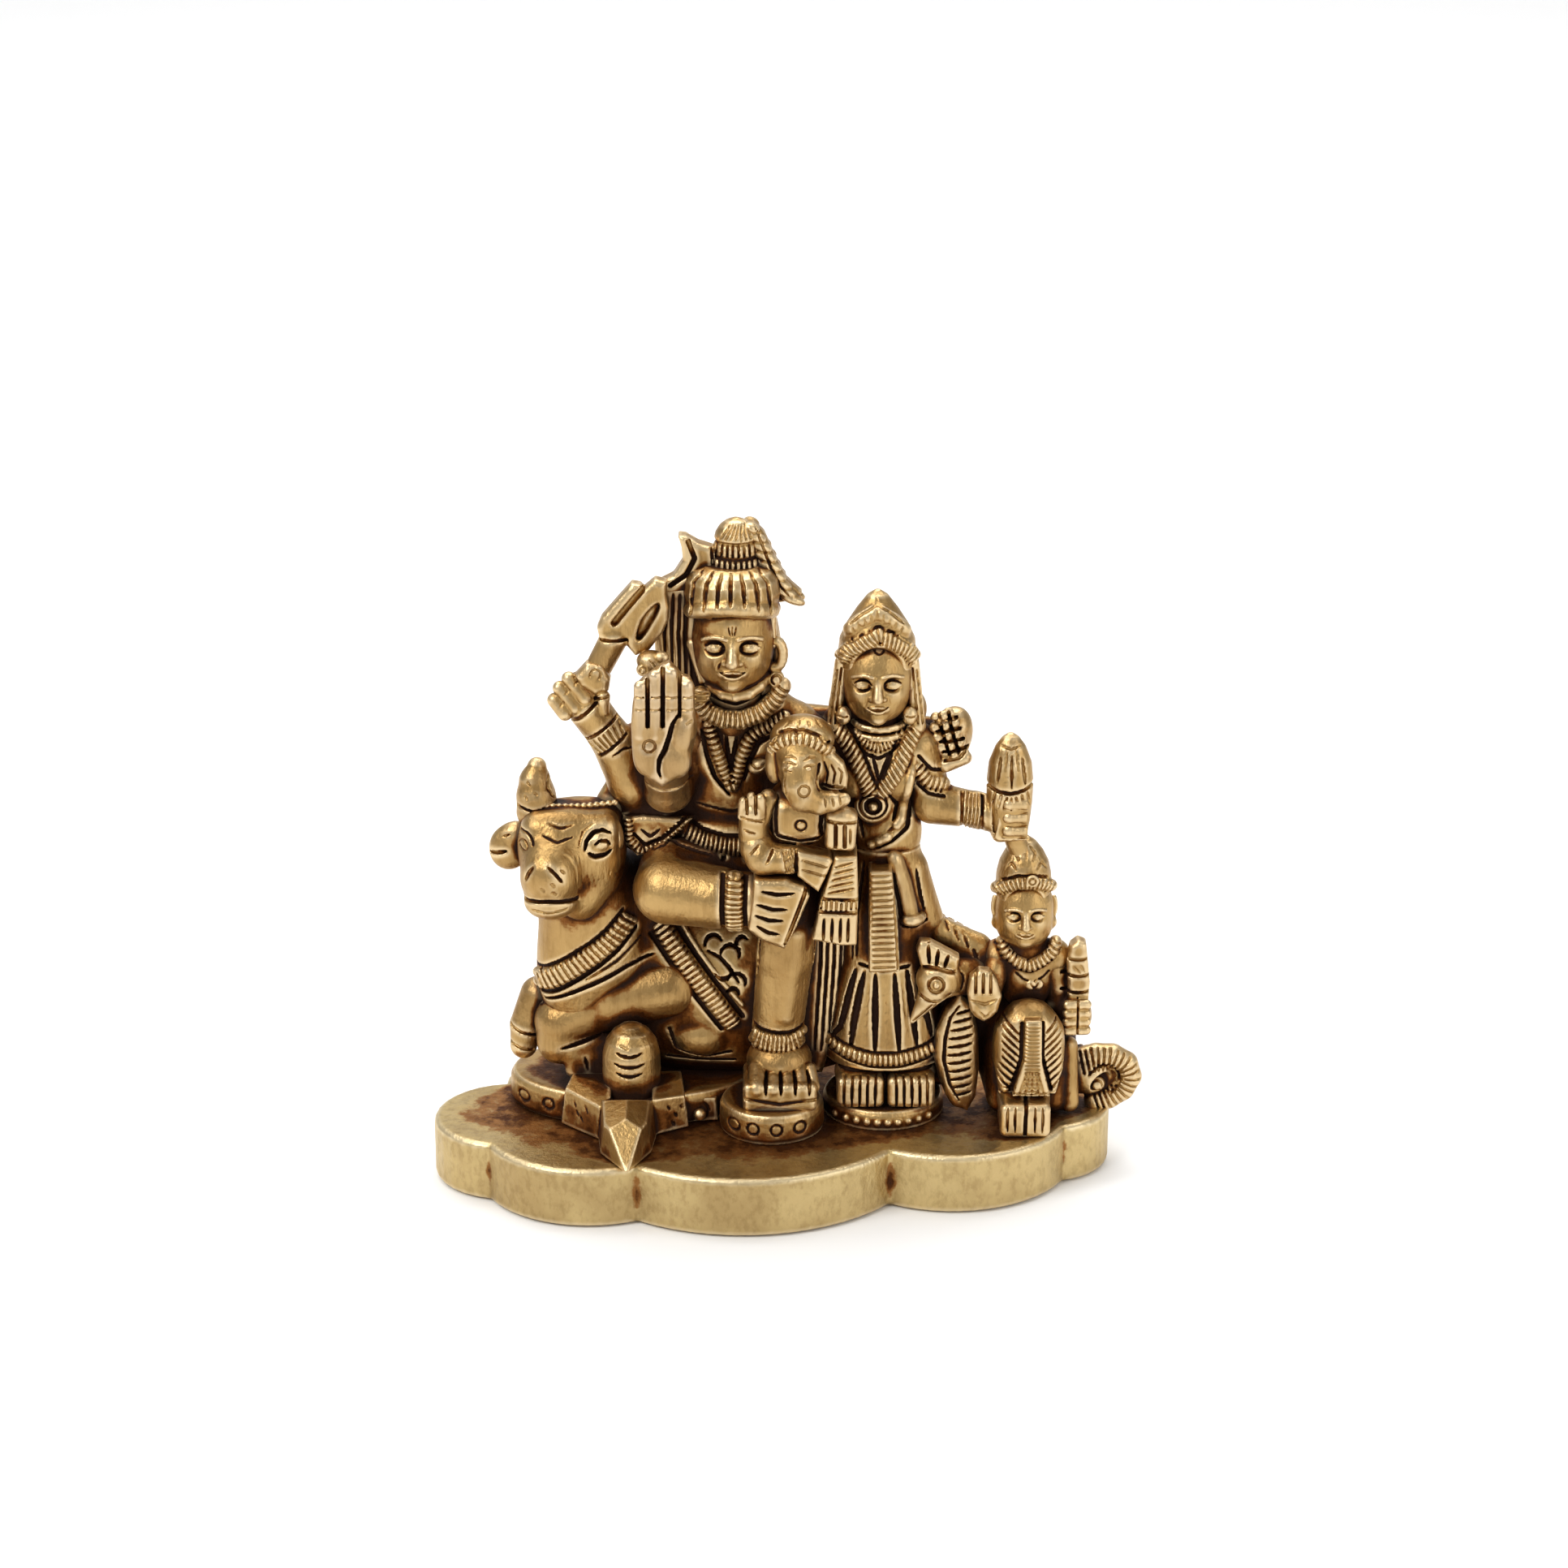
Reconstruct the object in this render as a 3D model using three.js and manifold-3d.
// A small cast-brass shrine group: a four-armed figure seated on a reclining bull with an elephant-headed child
// on the lap, a consort standing beside, a crowned child seated on a peacock, and a round-topped stone on its
// basin, all on one lobed base plate. Millimetres, +Z up, the front of the group faces -Y.
import * as THREE from "three";
import { mergeVertices } from "three/addons/utils/BufferGeometryUtils.js";
import Module from "manifold-3d";

const wasm = await Module();
wasm.setup();

// Driving dimensions.
const PLATE_THICKNESS = 9; // every figure's heights below are measured up from the plate's top face
const SEAM = 0.3; // the gap that each piece keeps to the pieces it is fitted to
const MERGE = 1e-4; // vertices closer than this are one vertex
const UP = new THREE.Vector3(0, 1, 0);
const END_WIDTH = 0.72; // the middle ring of a limb's round end: its radius and
const END_RISE = 0.69; // its height, as shares of the end's own radius
const CORNER_REACH = 1.4; // how much more an outline's corner moves than its edges when it grows
const LARGE_RADIUS = 9; // rounds above this radius get the most sides
const MIDDLE_RADIUS = 4.5; // and those at or below this one the fewest
const GROUND_WIDTH = 300; // the block of everything below the plate's top face
const GROUND_DEPTH = 60;

// The lobed plate: each notch between two lobes, and how far the lobe that follows it bulges out.
const PLATE_NOTCHES = [
  { at: [-42.5, 8], bulge: 9.4 },
  { at: [-43.7, -14], bulge: 4.6 },
  { at: [-21.9, -21.3], bulge: 7.2 },
  { at: [14.7, -15.8], bulge: 5.8 },
  { at: [40.5, -8], bulge: 5.2 },
  { at: [44.5, 9], bulge: 4.5 },
  { at: [24, 17], bulge: 3.5 },
  { at: [-6, 18.4], bulge: 3.5 },
  { at: [-33, 16], bulge: 3.5 },
];
const LOBE_STEPS = 7;

const BRASS = { color: 0xb48a45, roughness: 0.36, metalness: 1 };
const PLATE_BRASS = { color: 0xbd9a56, roughness: 0.42, metalness: 1 };
const PALM_BRASS = { color: 0xc39a78, roughness: 0.3, metalness: 1 };

// ---- solids ---------------------------------------------------------------------------------------------

// A three.js geometry as a solid: shared vertices merged, and the empty faces at a pole left out.
function solidOf(geometry) {
  const plain = geometry.index ? geometry.toNonIndexed() : geometry;
  const bare = new THREE.BufferGeometry().setAttribute("position", plain.getAttribute("position"));
  const merged = mergeVertices(bare, MERGE);
  const corners = [];
  for (let i = 0; i < merged.index.count; i += 3) {
    const [a, b, c] = [0, 1, 2].map((k) => merged.index.getX(i + k));
    if (a !== b && b !== c && c !== a) corners.push(a, b, c);
  }
  return new wasm.Manifold(
    new wasm.Mesh({
      numProp: 3,
      vertProperties: merged.attributes.position.array,
      triVerts: new Uint32Array(corners),
    }),
  );
}

// Each maker below returns a function of `grow`, so that one piece can be cut by its neighbour made larger.
const sidesFor = (radius) => {
  if (radius > LARGE_RADIUS) return 16;
  return radius > MIDDLE_RADIUS ? 10 : 8;
};

// An ellipsoid. `lean` turns it about Y, in degrees, as seen from the front.
const ball = (at, radii, lean = 0) => (grow) => {
  const sides = sidesFor(Math.max(...radii));
  const shape = new THREE.SphereGeometry(1, sides, sides / 2);
  shape.rotateX(Math.PI / 2);
  shape.scale(...radii.map((r) => r + grow));
  shape.rotateY(THREE.MathUtils.degToRad(lean));
  shape.translate(...at);
  return solidOf(shape);
};

// A tapered limb with round ends, from one point to another.
const limb = (from, to, startRadius, endRadius) => (grow) => {
  const [a, b] = [new THREE.Vector3(...from), new THREE.Vector3(...to)];
  const [r0, r1] = [startRadius + grow, endRadius + grow];
  const length = a.distanceTo(b);
  const profile = [new THREE.Vector2(0, -r0)];
  profile.push(new THREE.Vector2(r0 * END_WIDTH, -r0 * END_RISE), new THREE.Vector2(r0, 0));
  profile.push(new THREE.Vector2(r1, length), new THREE.Vector2(r1 * END_WIDTH, length + r1 * END_RISE));
  profile.push(new THREE.Vector2(0, length + r1));
  const shape = new THREE.LatheGeometry(profile, sidesFor(startRadius));
  const turn = new THREE.Quaternion().setFromUnitVectors(UP, b.clone().sub(a).normalize());
  shape.applyQuaternion(turn);
  shape.translate(...from);
  return solidOf(shape);
};

// A turned piece about a vertical axis: profile is [radius, height] pairs from the axis, up and back to it.
const turned = (at, profile, depthShare = 1) => (grow) => {
  const middle = (profile[0][1] + profile.at(-1)[1]) / 2;
  const points = profile.map(
    ([r, h]) => new THREE.Vector2(r === 0 ? 0 : r + grow, h + grow * Math.sign(h - middle)),
  );
  const widest = Math.max(...profile.map(([r]) => r));
  const shape = new THREE.LatheGeometry(points, sidesFor(widest));
  shape.rotateX(Math.PI / 2);
  shape.scale(1, depthShare, 1);
  shape.translate(...at);
  return solidOf(shape);
};

// A flat piece cut to an outline in the front view, [x, height] points, between two depths.
const panel = (outline, front, back) => (grow) => {
  const centre = outline.reduce((sum, p) => [sum[0] + p[0], sum[1] + p[1]], [0, 0]);
  const [cx, cz] = centre.map((v) => v / outline.length);
  const reach = Math.max(...outline.map(([x, z]) => Math.hypot(x - cx, z - cz)));
  const k = 1 + (grow * CORNER_REACH) / reach;
  const points = outline.map(([x, z]) => new THREE.Vector2(cx + (x - cx) * k, cz + (z - cz) * k));
  const depth = back - front + 2 * grow;
  const shape = new THREE.ExtrudeGeometry(new THREE.Shape(points), { depth, bevelEnabled: false });
  shape.rotateX(Math.PI / 2);
  shape.translate(0, back + grow, 0);
  return solidOf(shape);
};

// The points of a circular arc that bulges to the right of the way from a to b, without its last point.
function lobePoints(a, b, bulge) {
  const [dx, dy] = [b[0] - a[0], b[1] - a[1]];
  const chord = Math.hypot(dx, dy);
  const radius = (chord * chord) / (8 * bulge) + bulge / 2;
  const [nx, ny] = [dy / chord, -dx / chord];
  const centreX = (a[0] + b[0]) / 2 + nx * (bulge - radius);
  const centreY = (a[1] + b[1]) / 2 + ny * (bulge - radius);
  const half = bulge > chord / 2 ? Math.PI - Math.asin(chord / 2 / radius) : Math.asin(chord / 2 / radius);
  const middle = Math.atan2(ny, nx);
  const points = [];
  for (let i = 0; i < LOBE_STEPS; i++) {
    const angle = middle - half + (2 * half * i) / LOBE_STEPS;
    points.push(new THREE.Vector2(centreX + radius * Math.cos(angle), centreY + radius * Math.sin(angle)));
  }
  return points;
}

// The base plate: its lobed outline, counter-clockwise from above, extruded down from the figures' ground.
const plate = () => {
  const outline = PLATE_NOTCHES.flatMap(({ at, bulge }, i) =>
    lobePoints(at, PLATE_NOTCHES[(i + 1) % PLATE_NOTCHES.length].at, bulge),
  );
  const shape = new THREE.ExtrudeGeometry(new THREE.Shape(outline), {
    depth: PLATE_THICKNESS,
    bevelEnabled: false,
  });
  shape.translate(0, 0, -PLATE_THICKNESS);
  return solidOf(shape);
};

// Everything below the level that a piece standing on the plate may reach.
const GROUND = (() => {
  const shape = new THREE.BoxGeometry(GROUND_WIDTH, GROUND_WIDTH, GROUND_DEPTH);
  shape.translate(0, 0, SEAM - GROUND_DEPTH / 2);
  return solidOf(shape);
})();

// ---- the pieces, figure by figure -------------------------------------------------------------------------

const base = [
  ["base_plate", [plate]],
  ["bull_plinth", [turned([-23, 3.6, 0], [[0, 0], [18.2, 0], [18.6, 1], [18.4, 4.8], [0, 4.8]], 0.63)]],
  ["foot_plinth", [turned([-2.5, -6.8, 0], [[0, 0], [7.6, 0], [7.4, 4.6], [0, 4.6]])]],
  ["consort_plinth", [turned([14, -0.5, 0], [[0, 0], [9.4, 0], [9, 2.9], [0, 2.9]])]],
];

const offering = [
  [
    "basin_with_spout",
    [
      turned([-22.5, -5.6, 0], [[0, 0], [8.4, 0], [9, 3.4], [8.2, 5.6], [0, 5.6]], 0.85),
      panel([[-26.6, 0.4], [-19.2, 0.4], [-19.2, 5], [-22.9, 6.6], [-26.6, 5]], -23.6, -10),
      limb([-17, -8, 3.6], [-12.6, -8.6, 3], 2.2, 1.6),
    ],
  ],
  [
    "domed_stone",
    [turned([-23, -5.4, 0], [[0, 3], [4.2, 3], [4.4, 8], [4.1, 12], [2.6, 14.8], [0, 15.7]])],
  ],
];

const elephantChild = [
  [
    "elephant_head",
    [
      ball([2, -9.9, 58.2], [3.9, 3.6, 4.8]),
      limb([0.7, -12.3, 57.2], [1.4, -12.7, 53.6], 2.7, 2.1),
      limb([1.4, -12.7, 53.4], [6.6, -12.3, 53.4], 2, 1.3),
      ball([6.4, -8.9, 57.2], [2.4, 1.1, 3.2], 12),
    ],
  ],
  ["elephant_crown", [ball([2, -8.1, 61.6], [4.5, 3.6, 3.3], 14)]],
  [
    "elephant_sweet_arm",
    [ball([7.4, -11.1, 47.6], [2.6, 1.8, 3.6]), limb([5, -7.5, 52.2], [7, -9.5, 49.2], 1.9, 1.7)],
  ],
  [
    "elephant_blessing_arm",
    [ball([-5.6, -10.5, 52.2], [2.1, 1.4, 4.4]), limb([-4.8, -9.7, 49.2], [-2, -7.1, 51.6], 1.8, 2)],
  ],
  [
    "elephant_folded_leg",
    [
      limb([-4, -10.9, 43.3], [0.4, -12.1, 43.5], 2.8, 2.3),
      panel([[0.6, 41.7], [4.4, 39.1], [6.2, 44.9], [0.6, 45.7]], -14.5, -10.1),
    ],
  ],
  ["elephant_hanging_leg", [panel([[3.4, 30.8], [9.8, 30.4], [10, 44.4], [6.4, 45]], -13.1, -7.1)]],
  ["elephant_body", [ball([1.6, -6.3, 48.7], [4.6, 4.6, 5.4])]],
];

const seatedFront = [
  ["folded_foot", [panel([[-5.4, 32.5], [-0.6, 30.5], [3, 38.5], [-4.8, 39.9]], -14.2, -8.2)]],
  [
    "folded_leg",
    [
      limb([-17.4, -6.2, 37], [-7.4, -8.8, 36.4], 5.1, 4.1),
      limb([-5, 1, 38.4], [-17, -2.8, 38.4], 5.5, 4.9),
    ],
  ],
  [
    "blessing_arm",
    [
      ball([-17.5, -11.5, 63.4], [4.7, 2.1, 9.8]),
      limb([-17.4, -2, 51.4], [-17.6, -9.4, 58], 3.5, 2.7),
      limb([-14, 0.6, 56.4], [-17.4, -1.8, 51], 3.8, 3.6),
    ],
  ],
  ["hanging_foot", [ball([-1.3, -6.6, 8], [5.6, 5.7, 4.5])]],
  [
    "hanging_leg",
    [
      limb([0.5, -5.2, 34.4], [-1.8, -4.8, 12.8], 4.6, 3.7),
      limb([-3, -0.6, 37], [0.6, -4.8, 35.2], 5.4, 4.8),
    ],
  ],
  [
    "trident",
    [
      panel(
        [[-27.4, 73.4], [-22.6, 73], [-20, 72.8], [-16.8, 77.4], [-16.2, 80], [-18, 82.4], [-17.2, 84.2],
          [-19.4, 84], [-21, 84.2], [-24.4, 81], [-27.6, 76]],
        -3.6, -0.6,
      ),
      limb([-25, -2, 74], [-28.6, -2.4, 66.4], 2.5, 2.2),
    ],
  ],
  [
    "rear_arm",
    [
      ball([-29.8, -3, 64], [4.6, 2.6, 3.2], -40),
      limb([-28.2, -2.4, 61.6], [-22, -0.8, 50], 2.7, 3.3),
      limb([-22, -0.8, 50], [-14.4, 1.8, 58], 3.2, 3.4),
    ],
  ],
];

const consort = [
  ["lotus_bud", [turned([32.3, -2, 0], [[0, 43.4], [2.6, 45], [3.3, 50], [2.9, 55], [1.7, 57.8], [0, 58.8]])]],
  [
    "consort_arm",
    [
      limb([18.8, 0.4, 55.6], [20.2, 0, 48.4], 3, 2.8),
      limb([20.2, 0, 47.6], [27.6, -1.2, 47.2], 2.7, 2.2),
    ],
  ],
  [
    "embracing_arm",
    [ball([22.9, 1.6, 57.6], [2.6, 2.8, 4.6], 12), limb([2, 4.8, 59], [21, 4.4, 56], 2.8, 2.4)],
  ],
  ["consort_sash", [panel([[11.7, 24], [16.2, 24], [15, 39.8], [11.4, 39.8]], -7.8, -3.6)]],
  ["consort_feet", [ball([10.6, -4.4, 5.6], [4.1, 4.6, 3.4]), ball([17.8, -4.4, 5.6], [4.1, 4.6, 3.4])]],
  [
    "consort_crown",
    [turned([12.5, -0.2, 0], [[0, 69.6], [5.2, 69.6], [5.4, 72], [4, 75.4], [1.8, 78], [0, 78.9]], 0.9)],
  ],
  [
    "consort_head",
    [ball([12.6, -0.8, 67.2], [4.4, 4.6, 5.9]), limb([13, 0.4, 58], [12.8, 0.2, 62.6], 2.9, 2.8)],
  ],
  ["consort_hair", [ball([12.9, 2, 65.8], [5.6, 3.8, 7]), ball([13.1, 2.8, 61], [6.9, 3, 5.4])]],
  [
    "consort_torso",
    [
      ball([13.2, 0, 53], [6.3, 4.4, 7]),
      limb([8.2, 0.8, 56.8], [18, 0.8, 56.8], 2.9, 2.9),
      ball([13.7, 0, 44], [5.1, 4, 6.4]),
    ],
  ],
  [
    "consort_skirt",
    [turned([14.1, 0, 0], [[0, 8.8], [8.7, 8.8], [8.9, 10.4], [7.2, 24], [5.6, 34], [4.9, 40.6], [0, 42]], 0.8)],
  ],
];

const peacockRider = [
  ["child_feet", [ball([34.4, -10, 2.6], [4.1, 4, 3.4])]],
  ["child_legs", [ball([35, -6.4, 11.4], [5.3, 4.4, 7])]],
  [
    "child_blessing_arm",
    [ball([28.4, -6.6, 20.8], [2.5, 1.5, 4.1]), limb([28.7, -5, 19], [30.6, -1.2, 23.4], 1.9, 2.1)],
  ],
  [
    "child_spear_arm",
    [
      limb([42.2, -2, 26], [42.3, -2.2, 19], 1.7, 2),
      ball([42.1, -3, 16.2], [2.4, 2.2, 3.2]),
      limb([38.8, -0.6, 23.6], [40.6, -1.2, 17.2], 2.1, 1.9),
    ],
  ],
  ["child_crown", [turned([34.3, -0.4, 0], [[0, 33.6], [3.8, 33.6], [4, 36], [3.2, 39.6], [1.4, 42.4], [0, 43]])]],
  ["child_head", [ball([34.4, -0.8, 31.6], [3.8, 3.8, 4.8]), limb([34.6, -0.2, 24.6], [34.5, -0.4, 28.4], 2.6, 2.6)]],
  ["child_torso", [ball([34.8, -0.8, 20.8], [4.3, 3.6, 5.8]), limb([31.2, -0.4, 24], [38.6, -0.4, 24], 2.4, 2.4)]],
  [
    "peacock_head",
    [
      ball([21.8, -5.6, 22.6], [3.4, 2.4, 3]),
      limb([20.8, -6.2, 20.8], [18.1, -7, 16.8], 1.9, 0.5),
      ball([21.2, -5.2, 26.6], [3.2, 1.4, 2.4], 24),
      limb([23.4, -5, 22.6], [28, -0.8, 23.6], 2.3, 3),
    ],
  ],
  ["peacock_wing", [ball([24.6, -4, 9.2], [3.4, 1.9, 8.6], -8)]],
  ["peacock_tail", [ball([46.8, 0, 5], [5.7, 3, 4.6]), limb([38, 2, 5], [44, 0.6, 5], 4, 3.4)]],
  ["peacock_body", [ball([35, 2.2, 9.6], [7.6, 7, 9.4]), limb([30, 0, 14], [28.4, 0, 22.4], 4, 3.2)]],
];

const seatedUpper = [
  [
    "crescent",
    [
      panel(
        [[-15.6, 88.4], [-13.4, 87.4], [-11.4, 86.4], [-11, 84.2], [-12, 81.8], [-13.8, 80.4], [-16.4, 79.8],
          [-17.6, 81.2], [-15.6, 82.2], [-14.7, 84], [-15, 86.4]],
        -0.8, 2.4,
      ),
    ],
  ],
  ["hair_stream", [limb([-5.4, 1.6, 87.8], [1, 2, 79.2], 2.1, 2.5)]],
  ["hair_knot", [turned([-8, 1, 0], [[0, 82], [4, 82], [4.1, 84.4], [3.5, 86.8], [2.3, 89.6], [0, 90.6]])]],
  ["hair_band", [ball([-8.1, -0.4, 79.8], [6.4, 6, 4.2])]],
  ["seated_head", [ball([-8, -0.7, 73.4], [5.6, 5.6, 6.9]), limb([-8, 0.8, 61], [-8, 0.6, 67.6], 3.9, 3.8)]],
  ["hair_fall", [ball([-9.6, 2.8, 70.4], [6.9, 4, 10])]],
  [
    "seated_torso",
    [
      ball([-8, 2, 51.2], [8.3, 5.6, 10.4]),
      limb([-13.6, 2, 58.2], [0, 2, 58.6], 4, 4),
      ball([-8.4, 1.6, 42], [7.6, 5.8, 6.8]),
    ],
  ],
];

const bull = [
  ["bull_horn_left", [limb([-36.3, -2.4, 48.4], [-36.3, -2, 54], 3, 1.5)]],
  ["bull_horn_right", [limb([-25.6, 1, 48], [-23.4, 3.6, 52.4], 2.3, 1.3)]],
  ["bull_ear_left", [ball([-40.2, -1.9, 42.2], [3.2, 1.9, 3.6], 12)]],
  ["bull_ear_right", [ball([-25.6, -4.4, 45], [1.9, 1.9, 3.3], -14)]],
  [
    "bull_head",
    [
      ball([-31.4, -3.2, 43.2], [7.2, 6.4, 6.9]),
      limb([-33.2, -5.4, 42.2], [-34.1, -9, 38.6], 5.2, 4.3),
    ],
  ],
  [
    "bull_foreleg_near",
    [
      limb([-15, 1.2, 18], [-33.6, 0.6, 12.6], 5, 4.4),
      limb([-34, -0.4, 9.2], [-25, 0, 8.4], 3.6, 3.2),
    ],
  ],
  ["bull_foreleg_far", [limb([-36.4, 4.6, 17.4], [-39.2, 1.6, 10.6], 3.2, 3)]],
  ["bull_hind_leg", [limb([16.4, 13, 10.6], [4, 15.6, 5], 6, 3.6)]],
  ["bull_tail", [limb([19.8, 12.6, 22], [22.4, 14.6, 8], 1.5, 1.9)]],
  [
    "bull_body",
    [
      ball([-8, 8, 17.4], [29.6, 10.6, 16.4]),
      ball([-30, 3.4, 19.8], [8, 8, 12.6]),
      limb([-28, 3.6, 24], [-30.4, 0, 38], 8.4, 7.2),
    ],
  ],
];

// ---- assembly ---------------------------------------------------------------------------------------------

// Earlier pieces keep their whole shape, and each later one is cut back to a seam from every earlier one.
const figures = { base, offering, elephantChild, seatedFront, consort, peacockRider, seatedUpper, bull };
const kept = [];

function overlap(a, b) {
  return [0, 1, 2].every((i) => a.min[i] < b.max[i] && b.min[i] < a.max[i]);
}

function join(makers, grow) {
  return makers.map((make) => make(grow)).reduce((whole, piece) => whole.add(piece));
}

function fitted(name, makers) {
  let piece = join(makers, 0);
  if (name !== "base_plate") piece = piece.subtract(GROUND);
  for (const earlier of kept) {
    if (overlap(piece.boundingBox(), earlier.grown.boundingBox())) piece = piece.subtract(earlier.grown);
  }
  const bodies = piece.decompose().sort((a, b) => b.volume() - a.volume());
  if (name !== "base_plate") kept.push({ grown: join(makers, SEAM) });
  return bodies[0];
}

// A named mesh whose geometry is centred on itself, placed by its position inside the figure's group.
function meshOf(name, piece, surface) {
  const { numProp, vertProperties, triVerts } = piece.getMesh();
  const points = new Float32Array((vertProperties.length / numProp) * 3);
  for (let i = 0; i < points.length / 3; i++) {
    points.set(vertProperties.subarray(i * numProp, i * numProp + 3), i * 3);
  }
  const shape = new THREE.BufferGeometry();
  shape.setAttribute("position", new THREE.BufferAttribute(points, 3));
  shape.setIndex(new THREE.BufferAttribute(new Uint32Array(triVerts), 1));
  shape.computeVertexNormals();
  shape.computeBoundingBox();
  const centre = shape.boundingBox.getCenter(new THREE.Vector3());
  shape.translate(-centre.x, -centre.y, -centre.z);
  const mesh = new THREE.Mesh(shape, new THREE.MeshStandardMaterial(surface));
  mesh.name = name;
  mesh.position.copy(centre);
  return mesh;
}

function surfaceOf(name) {
  if (name === "base_plate") return PLATE_BRASS;
  return name === "blessing_arm" ? PALM_BRASS : BRASS;
}

const statue = new THREE.Group();
for (const pieces of Object.values(figures)) {
  const figure = new THREE.Group();
  figure.position.set(0, 0, PLATE_THICKNESS);
  for (const [name, makers] of pieces) {
    figure.add(meshOf(name, fitted(name, makers), surfaceOf(name)));
  }
  statue.add(figure);
}

// The frame's origin is the middle of the whole group's footprint box, on the underside of the plate.
const extent = new THREE.Box3().setFromObject(statue);
const middle = extent.getCenter(new THREE.Vector3());
statue.position.set(-middle.x, -middle.y, 0);
const part = new THREE.Group();
part.add(statue);

export default part;
